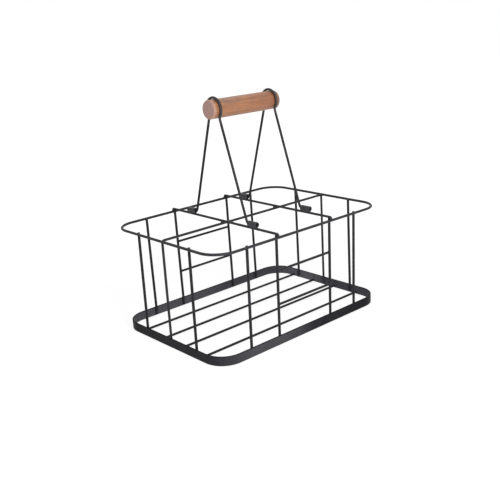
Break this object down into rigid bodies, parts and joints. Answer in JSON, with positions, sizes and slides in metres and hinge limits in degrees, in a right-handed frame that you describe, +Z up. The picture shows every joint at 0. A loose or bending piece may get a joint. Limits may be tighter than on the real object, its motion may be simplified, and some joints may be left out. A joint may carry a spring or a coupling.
{
  "type": "bottle caddy",
  "caption": "Open wire basket with bottle compartments on a flat steel band, carried by a round wooden grip on two rocking wire bails.",
  "frame": {"origin": "on the ground under the middle of the basket", "axes": "+X along the long side to the right as seen from the front, +Y from the front long side to the back one, +Z up"},
  "size_m": [0.29, 0.21, 0.2985],
  "materials": {
    "ring_coat": "matte black powder coat on steel wire",
    "wire_coat": "matte black powder coat on steel wire",
    "band_coat": "matte black powder coat on flat steel bar",
    "bail_coat": "matte black powder coat on steel wire",
    "tube_coat": "matte black powder coat on steel tube",
    "grip_wood": "orange-brown stained wood, satin"
  },
  "bodies": {
    "basket": {"top_ring": "ring_coat", "base_band": "band_coat", "floor_wire_1": "wire_coat", "floor_wire_2": "wire_coat", "floor_wire_3": "wire_coat", "floor_wire_4": "wire_coat", "front_upright_1": "wire_coat", "front_upright_2": "wire_coat", "front_upright_3": "wire_coat", "front_upright_4": "wire_coat", "back_upright_1": "wire_coat", "back_upright_2": "wire_coat", "back_upright_3": "wire_coat", "back_upright_4": "wire_coat", "left_upright_front": "wire_coat", "left_upright_back": "wire_coat", "right_upright_front": "wire_coat", "right_upright_back": "wire_coat", "front_lower_rail": "wire_coat", "front_upper_rail": "wire_coat", "back_lower_rail": "wire_coat", "back_upper_rail": "wire_coat", "long_divider": "wire_coat", "cross_divider_left": "wire_coat", "cross_divider_right": "wire_coat", "pivot_tube_left_front": "tube_coat", "pivot_tube_left_back": "tube_coat", "pivot_tube_right_front": "tube_coat", "pivot_tube_right_back": "tube_coat"},
    "bail_left": {"bail_left": "bail_coat"},
    "bail_right": {"bail_right": "bail_coat"},
    "grip": {"wooden_grip": "grip_wood"}
  },
  "joints": [
    {"name": "bail_left_hinge", "type": "hinge", "parent": "basket", "child": "bail_left", "pos_m": [-0.0466, 0, 0.14704], "axis": [0, 1, 0], "range_deg": [-10, 10]},
    {"name": "bail_right_hinge", "type": "hinge", "parent": "basket", "child": "bail_right", "pos_m": [0.0466, 0, 0.14704], "axis": [0, 1, 0], "range_deg": [-10, 10]},
    {"name": "grip_pivot", "type": "hinge", "parent": "bail_left", "child": "grip", "pos_m": [-0.0466, 0, 0.283], "axis": [0, 1, 0], "range_deg": [-10, 10]}
  ],
  "couplings": [
    {"joint": "bail_right_hinge", "follows": "bail_left_hinge", "ratio": 1},
    {"joint": "grip_pivot", "follows": "bail_left_hinge", "ratio": -1}
  ]
}
